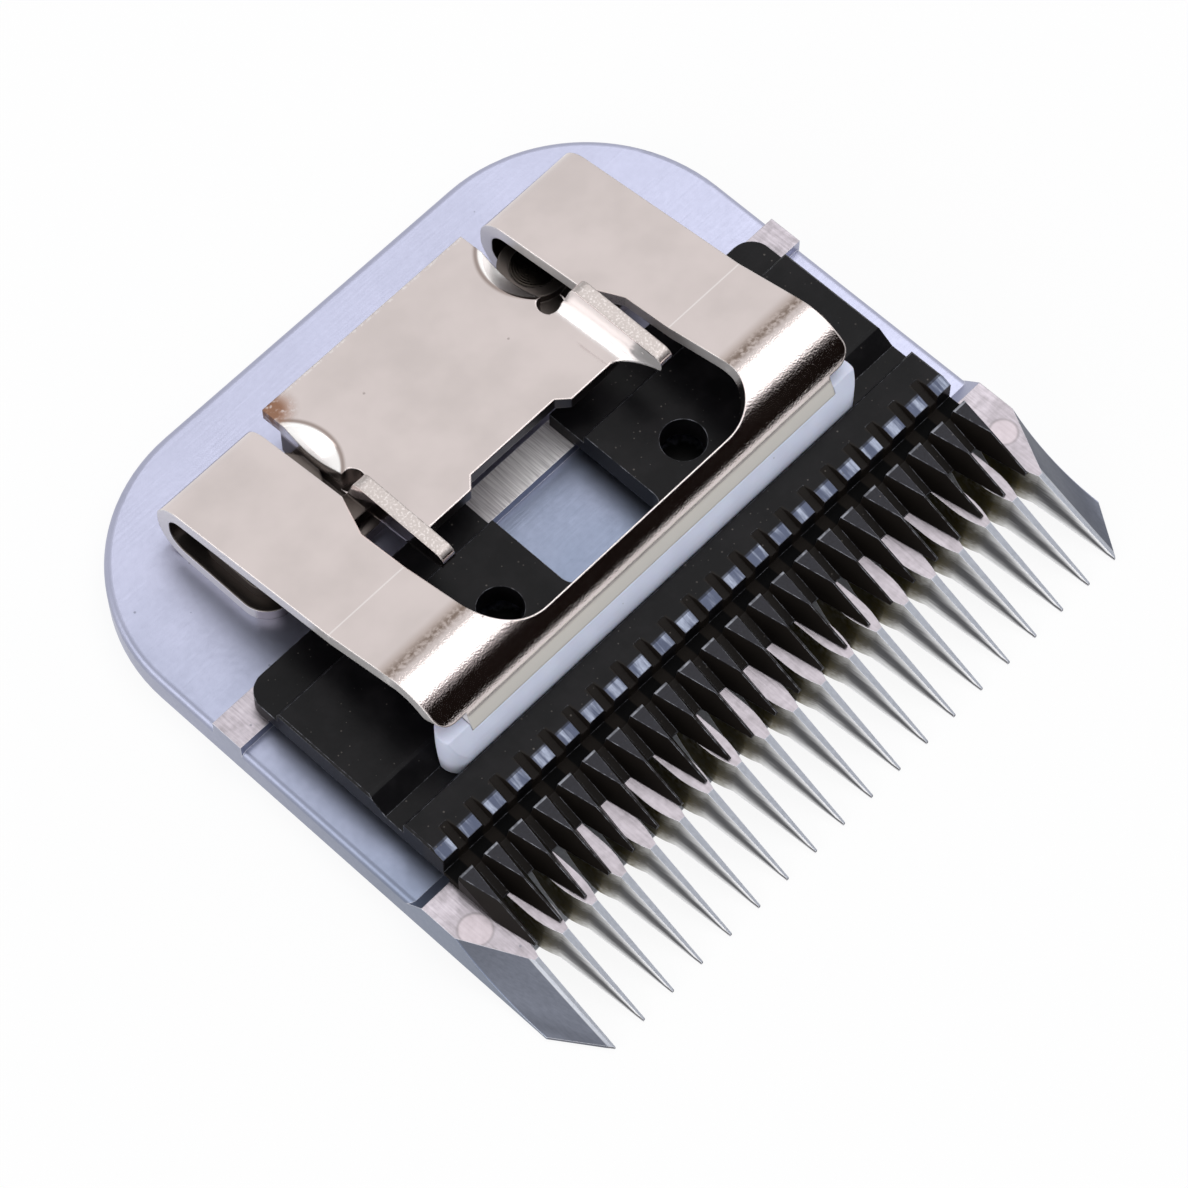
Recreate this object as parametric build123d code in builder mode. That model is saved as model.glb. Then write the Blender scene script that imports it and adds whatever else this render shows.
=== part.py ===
from build123d import *
from math import floor, radians, tan
import os

# Detachable blade of a pet hair clipper, in millimetres. A toothed steel comb lies on its flat
# underside with the tooth row along X and the tips towards -Y. A black cutter slides sideways on two
# ground lands of the comb, pressed down by a folded spring through a plastic guide strip. A bent
# sheet socket takes the clipper's tongue, and two countersunk screws hold socket, spring and comb.
# Setbacks are measured from the comb's tooth tips towards the rear.

# Comb plate
comb_width = 49.0
comb_length = 47.4
comb_height = 3.0
plate_height = 2.2
rear_corner_radius = 12.0
plate_edge_radius = 0.5
front_land_setback = 13.3
front_land_wall_run = 0.85
rail_setback = 28.3
rail_depth = 2.4

# Comb teeth
comb_teeth = 19
end_tooth_inset = 2.27
comb_point_length = 6.3
comb_tip_height = 0.25
comb_tip_width = 0.14
comb_point_width = 0.5
comb_tooth_width = 1.4
comb_land_end_run = 2.3
comb_flank_angle = 4.0
comb_root_setback = 7.6
comb_root_run = 3.8
comb_root_hollow = 0.4
end_facet_setback = 10.6
end_facet_hollow = 0.75
end_corner_run = 3.3

# Cutter, with heights above the comb's lands
running_gap = 0.03
cutter_margin = 2.35
cutter_tip_setback = 6.9
cutter_tooth_height = 1.7
cutter_slot_setback = 12.57
cutter_slot_width = 1.2
cutter_slot_floor = 0.65
cutter_facet_run = 0.9
cutter_facet_rise = 0.3
cutter_deck_height = 2.4
cutter_relief = 0.3
cutter_foot_setback = 27.5
cutter_foot_length = 2.9
cutter_foot_height = 1.3
cutter_foot_corner_radius = 1.5
cutter_plateau_height = 2.15
cutter_edge_break = 0.12

# Cutter teeth
cutter_pitch = 2.05
cutter_point_length = 2.75
cutter_tip_height = 0.3
cutter_groove_floor = 0.53
cutter_groove_half_angle = 21.0
cutter_ridge_flat = 0.1

# Drive gap and lugs of the cutter
drive_gap_width = 8.0
drive_gap_setback = 20.5
drive_gap_corner_radius = 1.2
lug_hole_diameter = 2.95
lug_hole_spacing = 15.94
lug_hole_setback = 22.9

# Cutter guide
guide_end_inset = 0.05
guide_setback = 17.0
guide_base_width = 1.5
guide_groove_floor = 1.25
guide_groove_slope_run = 1.3
guide_height = 3.6
guide_front_lean = 0.75
guide_rear_lean = 1.0
guide_side_rise = 1.85
guide_front_radius = 2.5
guide_end_radius = 1.2
guide_clearance = 0.05

# Tension spring, with heights above the comb plate
sheet_thickness = 1.0
spring_width = 35.3
spring_leaf_setback = 33.0
spring_leaf_gap = 15.0
spring_leaf_end_radius = 2.0
spring_rear_setback = 42.3
spring_fold_height = 4.8
spring_fold_radius = 1.75
spring_crease_setback = 27.4
spring_crease_height = 6.9
spring_crease_radius = 1.0
spring_nose_setback = 19.95
spring_nose_rise = 2.11
spring_nose_radius = 3.3
spring_nose_run = 1.4
spring_nose_drop = 2.15
spring_nose_corner_radius = 1.2
spring_lip_width = 31.3
spring_lip_run = 0.5
spring_lip_drop = 1.35
spring_lip_bend_radius = 0.8
window_rear_width = 20.4
window_front_width = 22.7
window_neck_setback = 33.8
window_widening_setback = 31.0
window_corner_setback = 24.0
window_bar_setback = 19.2
window_bar_rise = 7.77
window_tilt = 20.0
window_corner_radius = 3.6

# Socket, with heights above the comb plate
socket_width = 17.2
socket_rear_setback = 42.4
socket_rear_height = 4.1
socket_front_setback = 28.8
socket_front_height = 5.4
socket_body_setback = 34.7
socket_notch_width = 7.2
socket_notch_depth = 0.75
socket_wall_setback = 40.9
wing_width = 33.6
wing_front_setback = 33.8
wing_fold_clearance = 0.1
wing_corner_radius = 1.5
ear_spacing = 18.65
ear_bend_radius = 1.7
ear_height = 7.95
ear_foot_setback = 34.1
ear_rear_setback = 33.1
ear_front_setback = 25.4
ear_front_width = 1.1
ear_front_lean = 0.3
ear_corner_radius = 0.7
relief_radius = 0.85

# Screws and their seats
screw_spacing = 21.6
screw_setback = 38.3
screw_diameter = 3.0
screw_head_diameter = 5.6
screw_head_angle = 90.0
screw_slot_width = 0.8
screw_slot_depth = 0.6
screw_hole_clearance = 0.15
screw_thread_clearance = 0.02
screw_head_clearance = 0.05
boss_diameter = 4.6
boss_height = 0.6
boss_recess_radius = 3.45
boss_recess_foot_radius = 0.6
boss_recess_angle = 53.0

# Length by which a cut runs past the surface that it opens
overrun = 1.0

os.makedirs("parts", exist_ok=True)

# Values that several pieces share
tips = -comb_length / 2
half_comb = comb_width / 2
comb_pitch = (comb_width - 2 * end_tooth_inset) / (comb_teeth - 1)
cutter_width = comb_width - 2 * cutter_margin
cutter_teeth = floor(cutter_width / cutter_pitch) + 1
cutter_base = comb_height + running_gap
leaf_top = plate_height + sheet_thickness
wing_top = leaf_top + sheet_thickness
wing_rear_setback = spring_rear_setback - sheet_thickness / 2 - spring_fold_radius - wing_fold_clearance
socket_slope = (socket_front_height - socket_rear_height) / (socket_rear_setback - socket_front_setback)
screw_hole_diameter = screw_diameter + 2 * screw_hole_clearance
screw_places = [(-screw_spacing / 2, tips + screw_setback), (screw_spacing / 2, tips + screw_setback)]


def side(setback, height):
    """Point of a side profile: a setback from the comb's tips and a height above its underside."""
    return (tips + setback, height)


def socket_top(setback):
    """Height of the socket's sloping top face above the comb's underside."""
    return plate_height + socket_rear_height + socket_slope * (socket_rear_setback - setback)


def tooth_grind(tip_setback, point_length, top, tip_top, highest, pitch, grooves, floor_width, half_angle, flat):
    """Volume that grinding takes off a toothed edge: sloping grooves and the bevel along their ridges."""
    spread = tan(radians(half_angle))
    ridge_drop = flat / 2 / spread
    fall = (top - tip_top - ridge_drop) / point_length
    point_depth = (pitch - floor_width) / 2 / spread
    start = tip_setback + point_length + (highest + overrun - top + point_depth) / fall
    run = start - tip_setback + overrun
    depth = run * fall
    bevel = tip_setback + point_length + ridge_drop / fall
    with BuildPart() as grind:
        with BuildSketch(Plane.XZ.offset(-tips - start)) as grooves_section:
            with GridLocations(pitch, 0, grooves, 1):
                Polygon(
                    (-floor_width / 2, highest + overrun),
                    (floor_width / 2, highest + overrun),
                    (floor_width / 2 + depth * spread, highest + overrun + depth),
                    (-floor_width / 2 - depth * spread, highest + overrun + depth),
                    align=None,
                )
        travel = Vector(0, -run, -depth)
        extrude(amount=travel.length, dir=travel.normalized())
        with BuildSketch(Plane.YZ) as bevel_section:
            Polygon(
                side(bevel, top),
                side(bevel, top + overrun),
                side(tip_setback - overrun, top + overrun),
                side(tip_setback - overrun, tip_top - fall * overrun),
                align=None,
            )
        extrude(amount=half_comb, both=True)
    return grind.part


# Comb: ground plate with two raised lands
end_ridge = half_comb - end_tooth_inset
flank_spread = tan(radians(comb_flank_angle))
point_fall = (comb_height - comb_tip_height) / comb_point_length
root_rear = comb_root_setback + comb_root_run


def gap_plan(height):
    """Outline of the gap between two comb teeth at a height above the underside."""
    tip_width = comb_tip_width - 2 * flank_spread * (comb_height - comb_tip_height)
    taper = (comb_point_width - tip_width) / comb_point_length
    tooth_widths = [(-overrun, tip_width - taper * overrun)]
    for share in (0, 0.25, 0.5, 0.75, 1):
        swelling = (comb_tooth_width - comb_point_width) * (1 - (1 - share) ** 2)
        tooth_widths.append((comb_point_length + share * comb_land_end_run, comb_point_width + swelling))
    tooth_widths.append((root_rear + overrun, comb_tooth_width))
    growth = (height - comb_height) * flank_spread
    half_gaps = [((comb_pitch - width) / 2 + growth, tips + setback) for setback, width in tooth_widths]
    return half_gaps + [(-half_gap, y) for half_gap, y in reversed(half_gaps)]


with BuildPart() as tooth_gap:
    for gap_height in (-overrun, comb_height + overrun):
        with BuildSketch(Plane.XY.offset(gap_height)):
            Polygon(*gap_plan(gap_height), align=None)
    loft(ruled=True)
    with BuildSketch(Plane.YZ) as root_section:
        with BuildLine():
            root = SagittaArc(
                side(comb_root_setback, 0), side(root_rear, comb_height), -comb_root_hollow
            )
            Polyline(
                root @ 1,
                side(root_rear, comb_height + 2 * overrun),
                side(-2 * overrun, comb_height + 2 * overrun),
                side(-2 * overrun, -2 * overrun),
                side(comb_root_setback, -2 * overrun),
                root @ 0,
            )
        make_face()
    extrude(amount=comb_pitch, both=True, mode=Mode.INTERSECT)

with BuildPart() as end_facets:
    with BuildSketch(Plane.YZ.offset(half_comb)) as outer_section:
        with BuildLine():
            hollow = SagittaArc(
                side(end_facet_setback, comb_height), side(end_corner_run, comb_tip_height), end_facet_hollow
            )
            Polyline(
                hollow @ 1,
                side(-overrun, comb_tip_height),
                side(-overrun, comb_height + overrun),
                side(end_facet_setback, comb_height + overrun),
                hollow @ 0,
            )
        make_face()
    with BuildSketch(Plane.YZ.offset(end_ridge + comb_tip_width / 2)) as ridge_section:
        with BuildLine():
            Polyline(
                side(comb_point_length, comb_height),
                side(0, comb_tip_height),
                side(-overrun, comb_tip_height),
                side(-overrun, comb_height + overrun),
                side(comb_point_length, comb_height + overrun),
                close=True,
            )
        make_face()
    loft(ruled=True)
    with BuildSketch(Plane.XY) as corner_section:
        Polygon(
            (half_comb, tips + end_corner_run),
            (end_ridge, tips),
            (end_ridge, tips - overrun),
            (half_comb + overrun, tips - overrun),
            (half_comb + overrun, tips + end_corner_run),
            align=None,
        )
    extrude(amount=comb_height)
    mirror(about=Plane.YZ)

with BuildPart() as comb:
    with BuildSketch(Plane.YZ) as comb_section:
        Polygon(
            side(0, 0),
            side(comb_length, 0),
            side(comb_length, plate_height),
            side(rail_setback + rail_depth, plate_height),
            side(rail_setback + rail_depth, comb_height),
            side(rail_setback, comb_height),
            side(rail_setback, plate_height),
            side(front_land_setback + front_land_wall_run, plate_height),
            side(front_land_setback, comb_height),
            side(0, comb_height),
            align=None,
        )
    extrude(amount=half_comb, both=True)
    fillet(comb.edges().filter_by(Axis.Z).group_by(Axis.Y)[-1], rear_corner_radius)
    plate_rims = comb.edges().filter_by_position(Axis.Z, plate_height, plate_height)
    fillet(
        [rim for rim in plate_rims if abs(rim.center().X) > overrun or rim.center().Y > -tips - overrun],
        plate_edge_radius,
    )
    with GridLocations(comb_pitch, 0, comb_teeth - 1, 1):
        add(tooth_gap.part, mode=Mode.SUBTRACT)
    with BuildSketch(Plane.YZ) as point_section:
        Polygon(
            side(comb_point_length, comb_height),
            side(comb_point_length, comb_height + overrun),
            side(-overrun, comb_height + overrun),
            side(-overrun, comb_tip_height - point_fall * overrun),
            align=None,
        )
    extrude(amount=half_comb, both=True, mode=Mode.SUBTRACT)
    add(end_facets.part, mode=Mode.SUBTRACT)
    with Locations(Plane.XY.rotated((180, 0, 0))):
        with Locations([(x, -y) for x, y in screw_places]):
            CounterSinkHole(
                screw_hole_diameter / 2,
                screw_head_diameter / 2 + screw_head_clearance,
                counter_sink_angle=screw_head_angle,
            )
comb.part.label = "comb"
export_step(comb.part, "parts/comb.step")

# Cutter: one profile along X, then the drive gap, lug holes, rounded feet and ground teeth
half_cutter = cutter_width / 2
facet_setback = cutter_slot_setback + cutter_slot_width
groove_rear = guide_setback + guide_base_width
foot_rear = cutter_foot_setback + cutter_foot_length
cutter_deck = comb_height + cutter_deck_height

with BuildPart() as cutter:
    with BuildSketch(Plane.YZ) as cutter_section:
        Polygon(
            side(cutter_tip_setback, cutter_base),
            side(front_land_setback, cutter_base),
            side(front_land_setback, cutter_base + cutter_relief),
            side(rail_setback, cutter_base + cutter_relief),
            side(rail_setback, cutter_base),
            side(foot_rear, cutter_base),
            side(foot_rear, comb_height + cutter_foot_height),
            side(cutter_foot_setback, comb_height + cutter_foot_height),
            side(cutter_foot_setback, comb_height + cutter_plateau_height),
            side(groove_rear + guide_groove_slope_run, comb_height + cutter_plateau_height),
            side(groove_rear, comb_height + guide_groove_floor),
            side(guide_setback, comb_height + guide_groove_floor),
            side(guide_setback, cutter_deck),
            side(facet_setback + cutter_facet_run, cutter_deck),
            side(facet_setback, cutter_deck - cutter_facet_rise),
            side(facet_setback, comb_height + cutter_slot_floor),
            side(cutter_slot_setback, comb_height + cutter_slot_floor),
            side(cutter_slot_setback, comb_height + cutter_tooth_height),
            side(cutter_tip_setback, comb_height + cutter_tooth_height),
            align=None,
        )
    extrude(amount=half_cutter, both=True)
    foot_corners = cutter.edges().filter_by(Axis.Z).group_by(Axis.Y)[-1]
    fillet(foot_corners, cutter_foot_corner_radius)
    top_rims = cutter.faces().filter_by(Axis.Z).group_by(Axis.Z)
    chamfer(top_rims[-1].edges() + top_rims[-2].edges(), cutter_edge_break)
    with BuildSketch(Plane.XY) as drive_gap:
        with Locations((0, tips + drive_gap_setback)):
            Rectangle(
                drive_gap_width,
                foot_rear - drive_gap_setback + overrun,
                align=(Align.CENTER, Align.MIN),
            )
        fillet(drive_gap.vertices().group_by(Axis.Y)[0], drive_gap_corner_radius)
    extrude(amount=cutter_deck + overrun, mode=Mode.SUBTRACT)
    with Locations((0, tips + lug_hole_setback, cutter_deck)):
        with GridLocations(lug_hole_spacing, 0, 2, 1):
            Hole(lug_hole_diameter / 2)
    add(
        tooth_grind(
            cutter_tip_setback, cutter_point_length, comb_height + cutter_tooth_height,
            comb_height + cutter_tip_height, cutter_deck, cutter_pitch, cutter_teeth + 1,
            cutter_groove_floor, cutter_groove_half_angle, cutter_ridge_flat,
        ),
        mode=Mode.SUBTRACT,
    )
cutter.part.label = "cutter"
export_step(cutter.part, "parts/cutter.step")

# Tension spring: one bent strip whose path runs from the lower leaf over the fold to the nose, where
# a narrower lip turns down into the guide
half_sheet = sheet_thickness / 2
half_spring = spring_width / 2
half_window = window_rear_width / 2
half_bay = window_front_width / 2
leaf_middle = plate_height + half_sheet
fold_middle = spring_rear_setback - half_sheet
crease_middle = plate_height + spring_crease_height - half_sheet
nose_middle = crease_middle + spring_nose_rise
nose_end = side(spring_nose_setback - spring_nose_run, nose_middle - spring_nose_drop)

with BuildLine(Plane.YZ) as strip_path:
    FilletPolyline(
        side(spring_leaf_setback, leaf_middle),
        side(fold_middle, leaf_middle),
        side(fold_middle, plate_height + spring_fold_height - half_sheet),
        side(spring_crease_setback, crease_middle),
        side(spring_nose_setback, nose_middle),
        nose_end,
        (nose_end[0] - spring_lip_run, nose_end[1] - spring_lip_drop),
        radius=[
            spring_fold_radius, spring_fold_radius, spring_crease_radius, spring_nose_radius,
            spring_lip_bend_radius,
        ],
    )

with BuildPart() as tension_spring:
    with BuildSketch(Plane.YZ) as strip_section:
        trace(Plane.YZ.to_local_coords(strip_path.line), line_width=sheet_thickness)
    extrude(amount=half_spring, both=True)
    nose_plane = Plane(
        origin=(0, *nose_end), x_dir=(1, 0, 0), z_dir=(0, -spring_nose_drop, spring_nose_run)
    )
    with BuildSketch(nose_plane) as nose_corners:
        Rectangle(spring_width + 2 * overrun, 4 * spring_lip_drop)
        RectangleRounded(
            spring_width,
            4 * spring_nose_corner_radius,
            spring_nose_corner_radius,
            align=(Align.CENTER, Align.MIN),
            mode=Mode.SUBTRACT,
        )
        Rectangle(spring_lip_width, 4 * spring_lip_drop, mode=Mode.SUBTRACT)
    extrude(amount=sheet_thickness, both=True, mode=Mode.SUBTRACT)
    leaf_ends = tension_spring.edges().filter_by(Axis.Z).filter_by_position(
        Axis.Z, plate_height, leaf_top
    )
    fillet(leaf_ends.group_by(Axis.Y)[0], spring_leaf_end_radius)
    with BuildSketch(Plane.XY) as leaf_gap:
        with Locations((0, tips + wing_rear_setback)):
            Rectangle(spring_leaf_gap, comb_length, align=(Align.CENTER, Align.CENTER))
            Rectangle(window_rear_width, comb_length, align=(Align.CENTER, Align.MIN))
    extrude(amount=leaf_top + sheet_thickness, mode=Mode.SUBTRACT)
    with BuildSketch(Plane.XY.offset(leaf_top)) as window_section:
        Polygon(
            (half_window, -tips),
            (half_window, tips + window_neck_setback),
            (half_bay, tips + window_widening_setback),
            (half_bay, tips + window_corner_setback),
            (-half_bay, tips + window_corner_setback),
            (-half_bay, tips + window_widening_setback),
            (-half_window, tips + window_neck_setback),
            (-half_window, -tips),
            align=None,
        )
    extrude(amount=nose_middle, mode=Mode.SUBTRACT)
    bar_plane = Plane(
        origin=(0, tips + window_bar_setback, plate_height + window_bar_rise)
    ).rotated((window_tilt, 0, 0))
    with BuildSketch(bar_plane) as bar_section:
        Rectangle(window_front_width, 2 * window_corner_radius, align=(Align.CENTER, Align.MIN))
        fillet(bar_section.vertices().group_by(Axis.Y)[0], window_corner_radius)
    extrude(amount=3 * spring_nose_radius, both=True, mode=Mode.SUBTRACT)
    with BuildSketch(Plane.XY.offset(plate_height)) as leaf_holes:
        with Locations(*screw_places):
            Circle(screw_hole_diameter / 2)
    extrude(amount=sheet_thickness, mode=Mode.SUBTRACT)
tension_spring.part.label = "tension_spring"
export_step(tension_spring.part, "parts/tension_spring.step")

# Cutter guide: strip with a slot for the spring's lip
guide_floor = comb_height + guide_groove_floor + guide_clearance
guide_top = guide_floor + guide_height
guide_front = guide_setback + guide_clearance
guide_base_rear = groove_rear - guide_clearance
guide_depth = guide_base_width + guide_rear_lean
guide_length = spring_width - 2 * guide_end_inset

with BuildPart() as cutter_guide:
    with BuildSketch(Plane.YZ) as guide_section:
        Polygon(
            side(guide_front, guide_floor),
            side(guide_base_rear, guide_floor),
            side(guide_base_rear + guide_rear_lean, guide_top),
            side(guide_front + guide_front_lean, guide_top),
            side(guide_front, guide_floor + guide_side_rise),
            align=None,
        )
        fillet(guide_section.vertices().sort_by(Axis.X)[0:2].sort_by(Axis.Y)[-1], guide_front_radius)
    extrude(amount=guide_length / 2, both=True)
    with BuildSketch(Plane.XY.offset(guide_floor)) as guide_plan:
        with Locations((0, tips + guide_front + guide_depth / 2)):
            RectangleRounded(guide_length, guide_depth, guide_end_radius)
    extrude(amount=guide_height, mode=Mode.INTERSECT)
    with BuildSketch(Plane.YZ) as lip_slot:
        trace(Plane.YZ.to_local_coords(strip_path.line), line_width=sheet_thickness + 2 * guide_clearance)
    extrude(amount=spring_lip_width / 2 + guide_clearance, both=True, mode=Mode.SUBTRACT)
cutter_guide.part.label = "cutter_guide"
export_step(cutter_guide.part, "parts/cutter_guide.step")

# Socket: raised top plate on two side walls, wings under the spring arms and two upright ears
half_socket = socket_width / 2
half_ears = ear_spacing / 2
ear_top = plate_height + ear_height
recess_spread = tan(radians(boss_recess_angle))
recess_drop = (boss_recess_radius - boss_recess_foot_radius) / recess_spread
recess_floor = socket_top(screw_setback) - recess_drop
channel_middle = socket_top(socket_body_setback) - half_sheet


def socket_block(half_width, roof_drop, recess_growth, overhang):
    """Wedge under the socket's sloping top, with a dished hollow on each side above a screw boss."""
    with BuildPart() as block:
        with BuildSketch(Plane.YZ) as block_section:
            Polygon(
                side(socket_body_setback - overhang, leaf_top - overhang),
                side(socket_rear_setback + overhang, leaf_top - overhang),
                side(socket_rear_setback + overhang, socket_top(socket_rear_setback + overhang) - roof_drop),
                side(socket_body_setback - overhang, socket_top(socket_body_setback - overhang) - roof_drop),
                align=None,
            )
        extrude(amount=half_width, both=True)
        with Locations(*[(x, y, recess_floor) for x, y in screw_places]):
            Cone(
                boss_recess_foot_radius + recess_growth,
                boss_recess_radius + recess_growth + overrun * recess_spread,
                recess_drop + overrun,
                align=(Align.CENTER, Align.CENTER, Align.MIN),
                mode=Mode.SUBTRACT,
            )
    return block.part


with BuildPart() as ears:
    with BuildSketch(Plane.XZ.offset(-tips - socket_body_setback)) as channel_section:
        with BuildLine():
            FilletPolyline(
                (-half_ears, channel_middle + ear_height),
                (-half_ears, channel_middle),
                (half_ears, channel_middle),
                (half_ears, channel_middle + ear_height),
                radius=ear_bend_radius,
            )
        trace(line_width=sheet_thickness)
    channel_run = socket_body_setback - ear_front_setback
    channel_travel = Vector(0, -channel_run, channel_run * socket_slope)
    extrude(amount=channel_travel.length, dir=channel_travel.normalized())
    with BuildSketch(Plane.YZ) as ear_outline:
        Polygon(
            side(socket_body_setback, plate_height),
            side(socket_body_setback, socket_top(socket_body_setback)),
            side(ear_foot_setback, socket_top(ear_foot_setback)),
            side(ear_rear_setback, ear_top),
            side(ear_front_setback, ear_top),
            side(ear_front_setback + ear_front_lean, ear_top - ear_front_width),
            side(socket_front_setback, socket_top(socket_front_setback)),
            side(socket_front_setback, plate_height),
            align=None,
        )
        fillet(ear_outline.vertices().group_by(Axis.Y)[-1], ear_corner_radius)
    extrude(amount=half_comb, both=True, mode=Mode.INTERSECT)

with BuildPart() as socket:
    add(socket_block(half_socket, 0, 0, 0))
    add(
        socket_block(half_socket - sheet_thickness, sheet_thickness, sheet_thickness, overrun),
        mode=Mode.SUBTRACT,
    )
    with BuildSketch(Plane.YZ) as wall_end_section:
        Polygon(
            side(socket_wall_setback, plate_height),
            side(socket_rear_setback + overrun, plate_height),
            side(
                socket_rear_setback + overrun, socket_top(socket_rear_setback + overrun) - sheet_thickness
            ),
            side(socket_wall_setback, socket_top(socket_wall_setback) - sheet_thickness),
            align=None,
        )
    extrude(amount=half_socket, both=True, mode=Mode.SUBTRACT)
    add(ears.part)
    with BuildSketch(Plane.XY.offset(leaf_top)) as wing_plan:
        with Locations((0, tips + (wing_front_setback + wing_rear_setback) / 2)):
            RectangleRounded(wing_width, wing_rear_setback - wing_front_setback, wing_corner_radius)
            Rectangle(socket_width - 2 * sheet_thickness, comb_length, mode=Mode.SUBTRACT)
    extrude(amount=sheet_thickness)
    with BuildSketch(Plane.XY.offset(wing_top)) as boss_plan:
        with Locations(*screw_places):
            Circle(boss_diameter / 2)
    extrude(amount=boss_height)
    with BuildSketch(Plane.XY.offset(leaf_top)) as boss_holes:
        with Locations(*screw_places):
            Circle(screw_diameter / 2 + screw_thread_clearance)
    extrude(amount=sheet_thickness + boss_height, mode=Mode.SUBTRACT)
    with BuildSketch(Plane.XY.offset(wing_top)) as edge_cuts:
        with Locations((0, tips + socket_body_setback)):
            with GridLocations(socket_width, 0, 2, 1):
                Circle(relief_radius)
        with Locations((0, tips + socket_front_setback + socket_notch_depth)):
            Trapezoid(
                socket_notch_width + 4 * socket_notch_depth,
                2 * socket_notch_depth,
                45,
                align=(Align.CENTER, Align.MAX),
            )
    extrude(amount=comb_length, mode=Mode.SUBTRACT)
socket.part.label = "socket"
export_step(socket.part, "parts/socket.step")

# Screws: countersunk from beneath through comb and leaf into the bosses
screw_length = wing_top + boss_height
screw_radius = screw_diameter / 2
screw_head_radius = screw_head_diameter / 2
screw_head_depth = (screw_head_radius - screw_radius) / tan(radians(screw_head_angle / 2))

for screw_name, (screw_x, screw_y) in zip(("screw_left", "screw_right"), screw_places):
    with BuildPart() as screw:
        with BuildSketch(Plane.XZ.offset(-screw_y)) as screw_section:
            Polygon(
                (screw_x, 0),
                (screw_x + screw_head_radius, 0),
                (screw_x + screw_radius, screw_head_depth),
                (screw_x + screw_radius, screw_length),
                (screw_x, screw_length),
                align=None,
            )
        revolve(axis=Axis((screw_x, screw_y, 0), (0, 0, 1)))
        with BuildSketch(Plane.XY) as screw_slot:
            with Locations((screw_x, screw_y)):
                Rectangle(screw_head_diameter, screw_slot_width)
        extrude(amount=screw_slot_depth, mode=Mode.SUBTRACT)
    screw.part.label = screw_name
    export_step(screw.part, f"parts/{screw_name}.step")
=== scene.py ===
"""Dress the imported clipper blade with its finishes, and set the floor, light and camera around it."""

from __future__ import annotations

import logging
from abc import ABC, abstractmethod
from dataclasses import dataclass, field
from enum import Enum
from math import pi, radians
from typing import Any, Union

import bpy
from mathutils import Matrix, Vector


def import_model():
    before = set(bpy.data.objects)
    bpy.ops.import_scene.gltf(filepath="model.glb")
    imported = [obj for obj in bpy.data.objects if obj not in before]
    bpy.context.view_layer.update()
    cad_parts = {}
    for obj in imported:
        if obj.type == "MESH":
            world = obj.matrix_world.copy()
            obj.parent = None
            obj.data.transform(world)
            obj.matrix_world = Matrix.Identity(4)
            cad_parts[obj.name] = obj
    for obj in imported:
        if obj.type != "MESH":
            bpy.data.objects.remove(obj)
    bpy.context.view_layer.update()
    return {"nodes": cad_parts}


LOG = logging.getLogger("clipper_blade")
MM = 0.001

Point = tuple[float, float, float]
Colour = tuple[float, float, float]
Number = Union["Field", float]
Feed = Union["Field", bpy.types.NodeSocket, bool, float, int, tuple]

BLACK: Colour = (0.0, 0.0, 0.0)
WHITE: Colour = (1.0, 1.0, 1.0)
NOISE_MIDDLE = 0.5
EVEN: Point = (1.0, 1.0, 1.0)
EDGE_SAMPLES = 6


class Node(Enum):
    """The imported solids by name."""

    COMB = "comb"
    CUTTER = "cutter"
    SPRING = "tension_spring"
    GUIDE = "cutter_guide"
    SOCKET = "socket"
    SCREW_LEFT = "screw_left"
    SCREW_RIGHT = "screw_right"


@dataclass(frozen=True)
class Edge:
    """Where a mask turns, with half the width of its soft ramp."""

    at: float
    soft: float


@dataclass(frozen=True)
class Band:
    """The two edges of a mask, with half the width of their soft ramps."""

    low: float
    high: float
    soft: float


@dataclass(frozen=True)
class Noise:
    """A soft noise: cycles in a millimetre, octaves, and the stretch and turn of its coordinates."""

    scale: float
    detail: float
    stretch: Point = EVEN
    turn: float = 0.0


@dataclass(frozen=True)
class Specks:
    """Scattered specks: cells in a millimetre, radius in cells, and the share of cells that have one."""

    scale: float
    radius: float
    share: float
    least: float = 0.3
    rim: Edge = Edge(0.8, 0.3)
    chance_soft: float = 0.001


@dataclass(frozen=True)
class Look:
    """How a worn or marked patch, or a patch of painted light or shade, looks: colour, how much of it
    shows, roughness and share of metal.
    """

    colour: Colour
    share: float
    roughness: float
    metal: float = 1.0


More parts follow.
